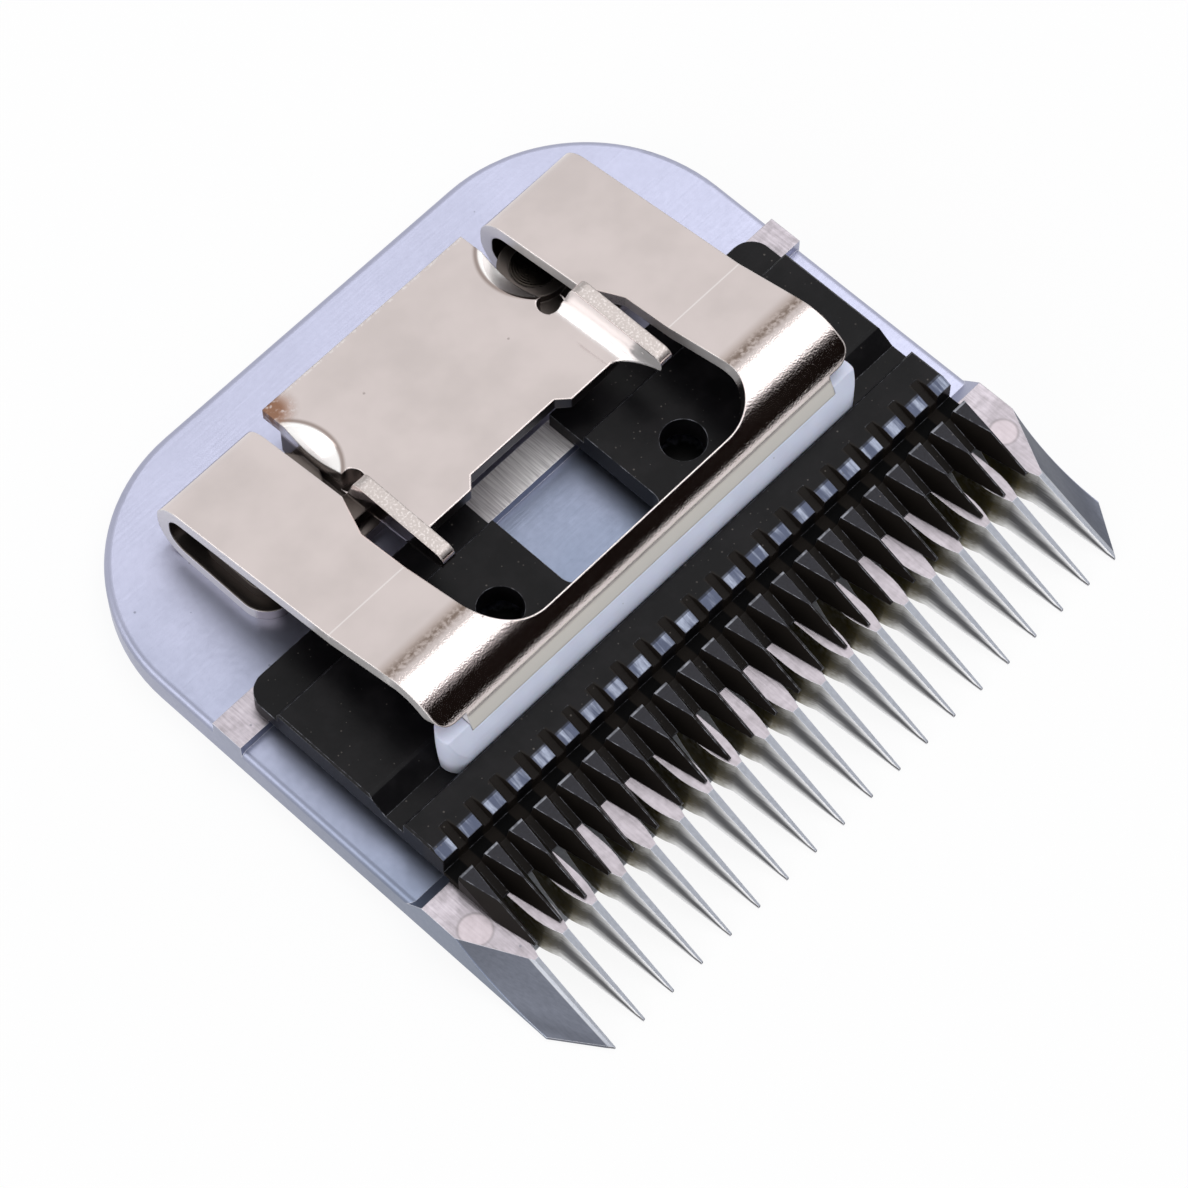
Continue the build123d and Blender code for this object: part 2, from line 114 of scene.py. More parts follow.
class Field:
    """A number that varies over a surface; Python operators on it add Math nodes."""

    def __init__(self, graph: Graph, socket: bpy.types.NodeSocket) -> None:
        """Keep the socket and the graph that it belongs to.

        Args:
            graph: The node tree being written.
            socket: The output that carries the number.
        """
        self.graph = graph
        self.socket = socket

    def math(self, operation: str, *values: Number) -> Field:
        """Add one Math node.

        Args:
            operation: The node's operation.
            values: Its inputs in order.

        Returns:
            The node's result.
        """
        made = self.graph.node("ShaderNodeMath", {"operation": operation}, dict(enumerate(values)))
        return self.graph.number(made, "Value")

    def __add__(self, other: Number) -> Field:
        """Add."""
        return self.math("ADD", self, other)

    def __radd__(self, other: Number) -> Field:
        """Add, from the right."""
        return self.math("ADD", other, self)

    def __sub__(self, other: Number) -> Field:
        """Subtract."""
        return self.math("SUBTRACT", self, other)

    def __rsub__(self, other: Number) -> Field:
        """Subtract this from the other."""
        return self.math("SUBTRACT", other, self)

    def __mul__(self, other: Number) -> Field:
        """Multiply."""
        return self.math("MULTIPLY", self, other)

    def __rmul__(self, other: Number) -> Field:
        """Multiply, from the right."""
        return self.math("MULTIPLY", other, self)

    def __truediv__(self, other: Number) -> Field:
        """Divide."""
        return self.math("DIVIDE", self, other)

    def __rtruediv__(self, other: Number) -> Field:
        """Divide the other by this."""
        return self.math("DIVIDE", other, self)

    def __pow__(self, other: Number) -> Field:
        """Raise to a power."""
        return self.math("POWER", self, other)

    def __mod__(self, other: Number) -> Field:
        """Take what is left over whole steps of the other."""
        return self.math("FLOORED_MODULO", self, other)

    def __abs__(self) -> Field:
        """Take the size without its sign."""
        return self.math("ABSOLUTE", self)

    def __or__(self, other: Number) -> Field:
        """Take the larger of two masks."""
        return self.math("MAXIMUM", self, other)

    def __and__(self, other: Number) -> Field:
        """Take the smaller of two masks."""
        return self.math("MINIMUM", self, other)

    def above(self, edge: Edge) -> Field:
        """Mask where the number is over an edge.

        Args:
            edge: The value where the mask is half, and its ramp.

        Returns:
            A mask from 0 to 1.
        """
        made = self.graph.node(
            "ShaderNodeMapRange",
            {"interpolation_type": "SMOOTHSTEP"},
            {"Value": self, "From Min": edge.at - edge.soft, "From Max": edge.at + edge.soft},
        )
        return self.graph.number(made, "Result")

    def below(self, edge: Edge) -> Field:
        """Mask where the number is under an edge."""
        return 1 - self.above(edge)

    def within(self, band: Band) -> Field:
        """Mask where the number is between two edges."""
        return self.above(Edge(band.low, band.soft)) * self.below(Edge(band.high, band.soft))

    def swing(self, amount: float) -> Field:
        """Centre a noise on zero and scale it."""
        return (self - NOISE_MIDDLE) * amount

    def clipped(self) -> Field:
        """Keep the number from 0 to 1."""
        return self & 1.0 | 0.0


class Graph:
    """A node tree that is written as Python expressions, with places in millimetres."""

    def __init__(self, tree: bpy.types.NodeTree) -> None:
        """Empty the tree and keep it.

        Args:
            tree: The tree of a material or of the world.
        """
        self.tree = tree
        self.tree.nodes.clear()

    def node(self, kind: str, settings: dict | None = None, sockets: dict | None = None) -> bpy.types.Node:
        """Add one node.

        Args:
            kind: The node's type.
            settings: Its properties, set first.
            sockets: The value or link of each input, by name or number.

        Returns:
            The node.
        """
        made = self.tree.nodes.new(kind)
        for name, value in (settings or {}).items():
            setattr(made, name, value)
        for name, value in (sockets or {}).items():
            self._feed(self._input(made, name), value)
        return made

    @staticmethod
    def _input(made: bpy.types.Node, name: str | int) -> bpy.types.NodeSocket:
        """Find an input that is in use.

        Args:
            made: The node.
            name: The input's name or number.

        Returns:
            The input.
        """
        if isinstance(name, int):
            return made.inputs[name]
        return next(socket for socket in made.inputs if socket.enabled and socket.name == name)

    def _feed(self, socket: bpy.types.NodeSocket, value: Feed) -> None:
        """Link a value to an input, or set it there.

        Args:
            socket: The input.
            value: A link, a number, a vector or a colour.
        """
        if isinstance(value, Field):
            self.tree.links.new(value.socket, socket)
        elif isinstance(value, bpy.types.NodeSocket):
            self.tree.links.new(value, socket)
        elif isinstance(value, tuple) and socket.type == "RGBA":
            socket.default_value = (*value, 1.0)
        else:
            socket.default_value = value

    def number(self, made: bpy.types.Node, name: str) -> Field:
        """Take a node's output as a number."""
        return Field(self, made.outputs[name])

    def place(self) -> bpy.types.NodeSocket:
        """Give the object's own coordinates in millimetres."""
        own = self.node("ShaderNodeTexCoord").outputs["Object"]
        return self.vector("MULTIPLY", own, (1 / MM,) * 3).outputs["Vector"]

    def vector(self, operation: str, *values: Feed) -> bpy.types.Node:
        """Add one Vector Math node."""
        return self.node("ShaderNodeVectorMath", {"operation": operation}, dict(enumerate(values)))

    def reach(self, place: bpy.types.NodeSocket, point: Point) -> Field:
        """Measure the distance to a point."""
        return self.number(self.vector("DISTANCE", place, point), "Value")

    def split(self, socket: bpy.types.NodeSocket) -> tuple[Field, Field, Field]:
        """Split a vector.

        Args:
            socket: The vector.

        Returns:
            Its X, Y and Z.
        """
        made = self.node("ShaderNodeSeparateXYZ", None, {"Vector": socket})
        return self.number(made, "X"), self.number(made, "Y"), self.number(made, "Z")

    def facing(self) -> tuple[Field, Field, Field]:
        """Split the surface's own normal."""
        return self.split(self.node("ShaderNodeNewGeometry").outputs["Normal"])

    def noise(self, place: bpy.types.NodeSocket, pattern: Noise) -> Field:
        """Add soft noise.

        Args:
            place: The coordinates.
            pattern: The noise's scale, detail, stretch and turn.

        Returns:
            The noise, from 0 to 1.
        """
        if pattern.stretch != EVEN or pattern.turn:
            rotation = (0.0, 0.0, radians(pattern.turn))
            mapped = {"Vector": place, "Scale": pattern.stretch, "Rotation": rotation}
            place = self.node("ShaderNodeMapping", None, mapped).outputs["Vector"]
        sockets = {"Vector": place, "Scale": pattern.scale, "Detail": pattern.detail}
        return self.number(self.node("ShaderNodeTexNoise", None, sockets), "Fac")

    def specks(self, place: bpy.types.NodeSocket, pattern: Specks) -> Field:
        """Scatter small round specks.

        Args:
            place: The coordinates.
            pattern: The specks' scale, radius and share.

        Returns:
            A mask of the specks.
        """
        made = self.node("ShaderNodeTexVoronoi", None, {"Vector": place, "Scale": pattern.scale})
        chance, size, _ = self.split(made.outputs["Color"])
        near = self.number(made, "Distance") / (size * pattern.radius + pattern.least * pattern.radius)
        return near.below(pattern.rim) * chance.below(Edge(pattern.share, pattern.chance_soft))

    def mix(self, factor: Number, first: Feed, second: Feed) -> bpy.types.NodeSocket:
        """Mix two colours.

        Args:
            factor: How much of the second shows.
            first: A colour.
            second: Another.

        Returns:
            The mixed colour.
        """
        sockets = {"Factor": factor, "A": first, "B": second}
        made = self.node("ShaderNodeMix", {"data_type": "RGBA"}, sockets)
        return next(socket for socket in made.outputs if socket.enabled)

    def rounded(self, radius: float) -> bpy.types.NodeSocket:
        """Give the normal with edges rounded by a radius in millimetres."""
        made = self.node("ShaderNodeBevel", {"samples": EDGE_SAMPLES}, {"Radius": radius * MM})
        return made.outputs["Normal"]

    def edges(self, rounded: bpy.types.NodeSocket) -> Field:
        """Mask the edges.

        Args:
            rounded: The normal with rounded edges.

        Returns:
            0 on a face, up to about 0.3 along a square edge.
        """
        own = self.node("ShaderNodeNewGeometry").outputs["Normal"]
        return 1 - self.number(self.vector("DOT_PRODUCT", own, rounded), "Value")

    def bump(self, height: Field, depth: float, normal: bpy.types.NodeSocket) -> bpy.types.NodeSocket:
        """Add relief to a normal.

        Args:
            height: The relief.
            depth: Its depth in millimetres.
            normal: The normal underneath.

        Returns:
            The new normal.
        """
        sockets = {"Height": height, "Distance": depth * MM, "Strength": 1.0, "Normal": normal}
        return self.node("ShaderNodeBump", None, sockets).outputs["Normal"]

    def seen_rays(self) -> Field:
        """Mask the rays that show the background: seen, mirrored or passed through.

        Returns:
            1 for such a ray, 0 for a ray that only carries light.
        """
        path = self.node("ShaderNodeLightPath")
        mirrored = self.number(path, "Is Glossy Ray")
        passed = self.number(path, "Is Transmission Ray")
        return self.number(path, "Is Camera Ray") | mirrored | passed

    def surface(self, sockets: dict[str, Feed]) -> None:
        """End the tree in a Principled shader."""
        shader = self.node("ShaderNodeBsdfPrincipled", None, sockets)
        self.node("ShaderNodeOutputMaterial", None, {"Surface": shader.outputs["BSDF"]})


class Finish(ABC):
    """A finish that makes one material."""

    name: str

    def material(self) -> bpy.types.Material:
        """Make the material.

        Returns:
            The material with its nodes.
        """
        made = bpy.data.materials.new(self.name)
        made.use_nodes = True
        self.paint(Graph(made.node_tree))
        return made

    @abstractmethod
    def paint(self, graph: Graph) -> None:
        """Write the material's nodes."""

    def dress(self, solid: bpy.types.Object) -> None:
        """Give a solid this finish in each of its slots.

        Args:
            solid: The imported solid.
        """
        made = self.material()
        for slot in solid.material_slots:
            slot.material = made


@dataclass(frozen=True)
class CombZones:
    """The coordinates, patterns and masks that several of the comb's colours share."""

    place: bpy.types.NodeSocket
    x: Field
    y: Field
    z: Field
    level: Field
    land: Field
    front: Field
    flank: Field
    crest: Field
    cloud: Field
    mottle: Field
    wheel: Field
    lapped: Field


@dataclass(frozen=True)
class CombSteel(Finish):
    """Satin blue-grey plate, bright ground lands, and ground teeth with oil in their roots."""

    name: str = "comb_ground_steel"
    plate: Colour = (0.405, 0.415, 0.535)
    plate_dim: Colour = (0.35, 0.36, 0.465)
    plate_shade: Colour = (0.155, 0.185, 0.255)
    # Painted shade: near-black discs on the plate under the cutter's lug holes, so that the holes read as
    # dark.
    hole_shade: Colour = (0.012, 0.012, 0.012)
    land: Colour = (0.40, 0.365, 0.40)
    land_dim: Colour = (0.22, 0.20, 0.215)
    ground: Colour = (0.145, 0.155, 0.190)
    ground_dim: Colour = (0.10, 0.107, 0.130)
    crest: Colour = (0.40, 0.42, 0.47)
    # Painted reflection on the tooth flanks: pale where they would mirror the white floor, dark where they
    # would mirror the dark flag.
    flank_painted_bright: Colour = (0.92, 0.92, 0.93)
    flank_painted_dark: Colour = (0.10, 0.10, 0.108)
    oil: Colour = (0.105, 0.080, 0.012)
    smudge: Colour = (0.13, 0.12, 0.125)
    mark: Colour = (0.40, 0.345, 0.365)
    # Painted highlight along the comb's edges.
    rim: Colour = (0.82, 0.82, 0.88)
    # Near white of the rail's scoured middle, partly painted highlight.
    bright: Colour = (0.97, 0.95, 0.95)

    cloud: Noise = Noise(0.16, 4.0)
    mottle: Noise = Noise(2.6, 4.0)
    smudges: Noise = Noise(0.9, 4.0)
    drawn: Noise = Noise(1.0, 3.0, (0.22, 5.0, 5.0))
    wheel: Noise = Noise(1.0, 3.0, (9.0, 0.35, 9.0))
    lapped: Noise = Noise(1.0, 3.0, (7.0, 0.5, 7.0), 38.0)
    pits: Specks = Specks(1.3, 0.11, 0.10)

    level: Edge = Edge(0.95, 0.02)
    underside: Edge = Edge(-0.6, 0.2)
    flank_tilt: Edge = Edge(0.55, 0.2)
    crest_tilt: Edge = Edge(0.5, 0.2)
    land_height: float = 3.0
    land_edge: Edge = Edge(2.88, 0.05)
    outer_wall: Edge = Edge(24.45, 0.03)
    end_ridge: Edge = Edge(22.45, 0.05)
    teeth_end: Edge = Edge(-12.1, 0.15)
    front_land: Edge = Edge(-12.1, 0.5)
    root: Edge = Edge(-16.8, 1.3)
    tip: float = -23.9
    bevel_run: float = 6.5
    least_rise: float = 0.12
    flank_shade: Band = Band(0.20, 0.80, 0.24)

    plate_upper: Edge = Edge(1.4, 0.1)
    pocket_half: Edge = Edge(5.0, 0.6)
    pocket_rear: Edge = Edge(4.7, 0.5)
    fall_start: float = 0.12
    fall_across: float = -0.018
    fall_along: float = -0.026
    hole_shade_places: tuple[Point, ...] = ((7.97, -0.8, 2.2), (-7.97, -0.8, 2.2))
    hole_shade_edge: Edge = Edge(1.9, 0.5)
    mark_places: tuple[tuple[float, float, float], ...] = ((22.85, -13.8, 0.90), (-23.3, -13.6, 1.05))
    mark_soft: float = 0.1
    ring_half: float = 0.07
    ring_soft: float = 0.09
    scoured_front: Edge = Edge(4.0, 0.3)
    scoured_half: Edge = Edge(8.6, 1.0)
    shine_place: float = 1.2
    shine_half: Edge = Edge(2.6, 3.0)

    smudge_edge: Edge = Edge(0.60, 0.10)
    smudge_share: float = 0.3
    front_land_share: float = 0.4
    pit_share: float = 0.55
    mark_share: float = 0.5
    rim_edge: Edge = Edge(0.05, 0.04)
    rim_share: float = 0.75
    rounding: float = 0.06
    relief_depth: float = 0.010

    def zones(self, graph: Graph) -> CombZones:
        """Add the patterns and masks that several colours share.

        Args:
            graph: The material's tree.

        Returns:
            The patterns and masks.
        """
        place = graph.place()
        x, y, z = graph.split(place)
        side, _, up = graph.facing()
        level = up.above(self.level)
        land = level * z.above(self.land_edge)
        between_walls = abs(x).below(self.outer_wall)
        between_ends = abs(x).below(self.end_ridge)
        front = y.below(self.teeth_end) * (1 - land) * up.above(self.underside) * between_walls
        return CombZones(
            place=place,
            x=x,
            y=y,
            z=z,
            level=level,
            land=land,
            front=front,
            flank=front * abs(side).above(self.flank_tilt) * between_ends,
            crest=front * up.above(self.crest_tilt) * between_ends,
            cloud=graph.noise(place, self.cloud),
            mottle=graph.noise(place, self.mottle),
            wheel=graph.noise(place, self.wheel),
            lapped=graph.noise(place, self.lapped),
        )

    def plate_colour(self, graph: Graph, zones: CombZones) -> bpy.types.NodeSocket:
        """Colour the plate, with painted shade making it darker towards the front and in the drive gap,
        and painted shade under the lug holes.

        Args:
            graph: The material's tree.
            zones: The shared patterns and masks.

        Returns:
            The colour.
        """
        tone = zones.cloud.swing(1.6) + zones.mottle.swing(0.5) + 0.35
        colour = graph.mix(tone.clipped(), self.plate, self.plate_dim)
        # Painted shade: the plate is mixed towards plate_shade more towards the front and left, and most
        # in the drive gap under the spring.
        pocket = abs(zones.x).below(self.pocket_half) * zones.y.below(self.pocket_rear)
        pocket = pocket * zones.z.above(self.plate_upper)
        fall = zones.x * self.fall_across + zones.y * self.fall_along + self.fall_start
        fall = fall + zones.cloud.swing(0.4) + pocket * 0.75
        colour = graph.mix(fall.clipped(), colour, self.plate_shade)
        # Painted shade under each lug hole.
        for hole_shade_place in self.hole_shade_places:
            reach = graph.reach(zones.place, hole_shade_place) + zones.mottle.swing(0.8)
            colour = graph.mix(reach.below(self.hole_shade_edge), colour, self.hole_shade)
        return colour

    def land_colour(self, graph: Graph, zones: CombZones) -> bpy.types.NodeSocket:
        """Colour the ground lands, streaked and smudged.

        Args:
            graph: The material's tree.
            zones: The shared patterns and masks.

        Returns:
            The colour.
        """
        streak = zones.lapped.swing(1.5) + zones.mottle.swing(0.7) + 0.32
        colour = graph.mix(streak.clipped(), self.land, self.land_dim)
        smudged = graph.noise(zones.place, self.smudges).above(self.smudge_edge)
        colour = graph.mix(smudged * self.smudge_share, colour, self.smudge)
        return graph.mix(zones.y.below(self.front_land) * self.front_land_share, colour, self.land_dim)

    def tooth_colour(self, graph: Graph, zones: CombZones) -> bpy.types.NodeSocket:
        """Colour the teeth: end facets, flanks with a painted reflection that is pale at the foot and near
        the crest and dark between, oily roots and pale crests.

        Args:
            graph: The material's tree.
            zones: The shared patterns and masks.

        Returns:
            The colour.
        """
        grind = zones.wheel.swing(1.2) + 0.35
        colour = graph.mix(grind.clipped(), self.ground, self.ground_dim)
        rise = (zones.y - self.tip) / self.bevel_run
        ridge = (rise & 1.0 | self.least_rise) * self.land_height
        climb = zones.z / ridge + zones.wheel.swing(0.3)
        # Painted reflection: flanks pale at the foot and near the crest, dark between.
        flank = graph.mix(climb.within(self.flank_shade), self.flank_painted_bright, self.flank_painted_dark)
        oiled = zones.y.above(self.root) * (zones.mottle + 0.4)
        flank = graph.mix(oiled.clipped(), flank, self.oil)
        colour = graph.mix(zones.flank, colour, flank)
        crest = zones.crest * (zones.wheel * 0.6 + 0.6)
        return graph.mix(crest.clipped(), colour, self.crest)

    def paint(self, graph: Graph) -> None:
        """Write the material's nodes.

        Args:
            graph: The material's tree.
        """
        zones = self.zones(graph)
        land = zones.land
        front = zones.front
        colour = graph.mix(land, self.plate_colour(graph, zones), self.land_colour(graph, zones))
        colour = graph.mix(front, colour, self.tooth_colour(graph, zones))

        pits = graph.specks(zones.place, self.pits) * zones.level
        colour = graph.mix(pits * self.pit_share, colour, self.ground_dim)
        for mark_x, mark_y, radius in self.mark_places:
            reach = graph.reach(zones.place, (mark_x, mark_y, self.land_height))
            disc = reach.below(Edge(radius, self.mark_soft))
            ring = reach.within(Band(radius - self.ring_half, radius + self.ring_half, self.ring_soft))
            colour = graph.mix(disc * land * self.mark_share, colour, self.mark)
            colour = graph.mix(ring * land * self.mark_share, colour, self.smudge)

        rounded = graph.rounded(self.rounding)
        # Painted highlight: edges are lightened towards the rim colour as bright lines; the rounded normal
        # also catches real light.
        rim = graph.edges(rounded).above(self.rim_edge)
        colour = graph.mix(rim * self.rim_share, colour, self.rim)
        # Partly scoured wear, partly painted highlight: the middle of the rear rail is painted near white,
        # brightest near x = 1.2 mm, and made less metallic so that it takes more light.
        scoured_highlight = land * zones.y.above(self.scoured_front) * abs(zones.x).below(self.scoured_half)
        shine = abs(zones.x - self.shine_place).below(self.shine_half) * 0.55
        shine = shine + zones.wheel.swing(1.6) + 0.30
        colour = graph.mix(scoured_highlight * shine.clipped(), colour, self.bright)

        drawn = graph.noise(zones.place, self.drawn) * (1 - front) * (1 - land)
        relief = drawn * 0.5 + zones.wheel * front * 0.4 + zones.lapped * land + zones.mottle * 0.4
        graph.surface({
            "Base Color": colour,
            "Roughness": 0.38 + zones.mottle.swing(0.12) - land * 0.04 + front * 0.14 - rim * 0.08,
            "Metallic": 1 - scoured_highlight * 0.65 - rim * (1 - front) * (1 - scoured_highlight) * 0.5,
            "Normal": graph.bump(relief, self.relief_depth, rounded),
        })


@dataclass(frozen=True)
class BlackCutter(Finish):
    """Blackened steel with worn bright edges, blue brushed facets with painted glints, painted shade in
    the slot, a painted highlight along the slot's front edge, brown furrows and a little dust.
    """

    name: str = "cutter_black_steel"
    black: Colour = (0.0040, 0.0038, 0.0046)
    black_worn: Colour = (0.0095, 0.0088, 0.0100)
    # Painted shade inside the slot behind the teeth.
    slot_painted_shade: Colour = (0.0004, 0.0004, 0.0006)
    # Bare steel of worn edges, also used as a painted highlight along the slot's front edge.
    bare_and_highlight: Colour = (0.30, 0.31, 0.35)
    facet: Colour = (0.062, 0.072, 0.108)
    # Painted glint on the brushed facets.
    facet_glint: Colour = (0.29, 0.32, 0.40)
    tooth_top: Colour = (0.030, 0.030, 0.038)
    furrow: Colour = (0.0115, 0.0092, 0.0078)
    dust: Colour = (0.22, 0.20, 0.185)

    cloud: Noise = Noise(0.5, 4.0)
    grain: Noise = Noise(6.0, 3.0)
    chips: Noise = Noise(1.9, 4.0)
    brushed: Noise = Noise(1.0, 3.0, (9.0, 0.6, 9.0))
    gleam: Noise = Noise(1.0, 4.0, (2.3, 0.25, 0.25))
    grit: Specks = Specks(3.2, 0.20, 0.20)

    worn_edge: Edge = Edge(0.55, 0.18)
    gleam_edge: Edge = Edge(0.54, 0.10)
    chip_edge: Edge = Edge(0.50, 0.12)
    rim_edge: Edge = Edge(0.06, 0.05)
    level: Edge = Edge(0.9, 0.05)
    dust_tilt: Edge = Edge(0.6, 0.2)
    facet_run: Band = Band(-9.95, -9.0, 0.05)
    facet_low: Edge = Edge(5.05, 0.03)
    facet_tilt: Band = Band(0.90, 0.985, 0.02)
    slot_run: Band = Band(-11.15, -9.95, 0.03)
    slot_top: Edge = Edge(4.55, 0.12)
    brink_run: Band = Band(-11.29, -11.15, 0.03)
    teeth_end: Edge = Edge(-11.15, 0.05)
    tooth_height: Edge = Edge(4.65, 0.03)
    tooth_pitch: float = 2.05
    furrow_half: Edge = Edge(0.42, 0.07)
    furrow_run: Band = Band(-11.5, -8.3, 0.06)
    worn_share: float = 0.85
    rounding: float = 0.08
    relief_depth: float = 0.008
    gloss_level: float = 0.10

    def paint(self, graph: Graph) -> None:
        """Write the material's nodes.

        Args:
            graph: The material's tree.
        """
        place = graph.place()
        x, y, z = graph.split(place)
        _, _, up = graph.facing()
        cloud = graph.noise(place, self.cloud)
        grain = graph.noise(place, self.grain)
        brushed = graph.noise(place, self.brushed)

        colour = graph.mix(cloud.above(self.worn_edge), self.black, self.black_worn)
        teeth = y.below(self.teeth_end)
        tops = teeth * z.above(self.tooth_height)
        colour = graph.mix((teeth * (cloud * 0.6 + 0.6)).clipped(), colour, self.furrow)
        colour = graph.mix((tops * (grain * 0.8 + 0.4)).clipped(), colour, self.tooth_top)
        facets = y.within(self.facet_run) * z.above(self.facet_low) * up.within(self.facet_tilt)
        # Painted glint: bright streaks across the facets.
        gleam = graph.noise(place, self.gleam).above(self.gleam_edge)
        facet_colour = graph.mix(gleam * (brushed * 0.9 + 0.2), self.facet, self.facet_glint)
        colour = graph.mix(facets, colour, facet_colour)

        rounded = graph.rounded(self.rounding)
        chipped = graph.noise(place, self.chips).above(self.chip_edge) * 0.85 + 0.12
        half_pitch = self.tooth_pitch / 2
        aside = abs((x + half_pitch) % self.tooth_pitch - half_pitch)
        furrow = aside.below(self.furrow_half) * y.within(self.furrow_run)
        worn = graph.edges(rounded).above(self.rim_edge) * chipped * (1 - furrow)
        # Painted shade: the slot behind the teeth is painted near black.
        sunk_shade = y.within(self.slot_run) * z.below(self.slot_top)
        colour = graph.mix(worn * self.worn_share, colour, self.bare_and_highlight)
        colour = graph.mix(sunk_shade, colour, self.slot_painted_shade)
        colour = graph.mix(furrow, colour, self.furrow)

        # Painted highlight: a pale line where the tooth tops meet the slot.
        brink = y.within(self.brink_run) * tops * up.above(self.level)
        colour = graph.mix((brink * (chipped * 0.7 + 0.3)).clipped(), colour, self.bare_and_highlight)
        dusty = graph.specks(place, self.grit) * up.above(self.dust_tilt) * (1 - sunk_shade)
        colour = graph.mix(dusty * (cloud * 0.8 - 0.1), colour, self.dust)
        graph.surface({
            "Base Color": colour,
            "Roughness": 0.34 + grain.swing(0.16) + cloud.swing(0.14) + dusty * 0.3 + sunk_shade * 0.5,
            "Metallic": (worn | facets) * (1 - sunk_shade) * 0.9,
            "Normal": graph.bump(grain * 0.4 + brushed * 0.3, self.relief_depth, rounded),
            "Specular IOR Level": self.gloss_level,
        })


@dataclass(frozen=True)
class BrightNickel(Finish):
    """Warm bright nickel on pressed sheet, with fine orange peel, few pits and edges lightened as a
    painted highlight.
    """

    name: str
    nickel: Colour = (0.68, 0.605, 0.59)
    nickel_dim: Colour = (0.60, 0.535, 0.52)
    pit: Colour = (0.12, 0.10, 0.095)
    # Painted highlight along the nickel's edges.
    rim: Colour = (0.78, 0.74, 0.73)
    gloss: float = 0.10
    cloud: Noise = Noise(0.22, 3.0)
    peel: Noise = Noise(8.5, 3.0)
    fine: Noise = Noise(11.0, 2.0)
    pits: Specks = Specks(0.8, 0.07, 0.10)
    dim_edge: Edge = Edge(0.52, 0.25)
    rim_edge: Edge = Edge(0.06, 0.05)
    pit_share: float = 0.6
    rim_share: float = 0.4
    rounding: float = 0.16
    relief_depth: float = 0.022

    def strain(self, graph: Graph, place: bpy.types.NodeSocket) -> Number:
        """Mask where bending has roughened the plating."""
        return 0.0

    def wear_and_painted_light(self, graph: Graph, place: bpy.types.NodeSocket) -> list[tuple[Field, Look]]:
        """List the worn and marked patches, and the patches of painted light and shade."""
        return []

    def paint(self, graph: Graph) -> None:
        """Write the material's nodes.

        Args:
            graph: The material's tree.
        """
        place = graph.place()
        cloud = graph.noise(place, self.cloud)
        peel = graph.noise(place, self.peel)
        fine = graph.noise(place, self.fine)
        colour = graph.mix(cloud.above(self.dim_edge), self.nickel, self.nickel_dim)

        pits = graph.specks(place, self.pits)
        colour = graph.mix(pits * self.pit_share, colour, self.pit)
        rounded = graph.rounded(self.rounding)
        # Painted highlight: edges are lightened towards the rim colour.
        rim = graph.edges(rounded).above(self.rim_edge)
        colour = graph.mix(rim * self.rim_share, colour, self.rim)
        roughness = self.gloss + fine.swing(0.04) + pits * 0.3 + rim * 0.05
        metallic: Number = 1.0
        for mask, look in self.wear_and_painted_light(graph, place):
            shown = mask * look.share
            colour = graph.mix(shown, colour, look.colour)
            roughness = roughness + shown * (look.roughness - self.gloss)
            metallic = metallic + shown * (look.metal - 1.0)
        relief = peel * (self.strain(graph, place) * 0.62 + 0.012) + fine * 0.02 - pits * 0.10
        graph.surface({
            "Base Color": colour,
            "Roughness": roughness,
            "Metallic": metallic,
            "Normal": graph.bump(relief, self.relief_depth, rounded),
        })


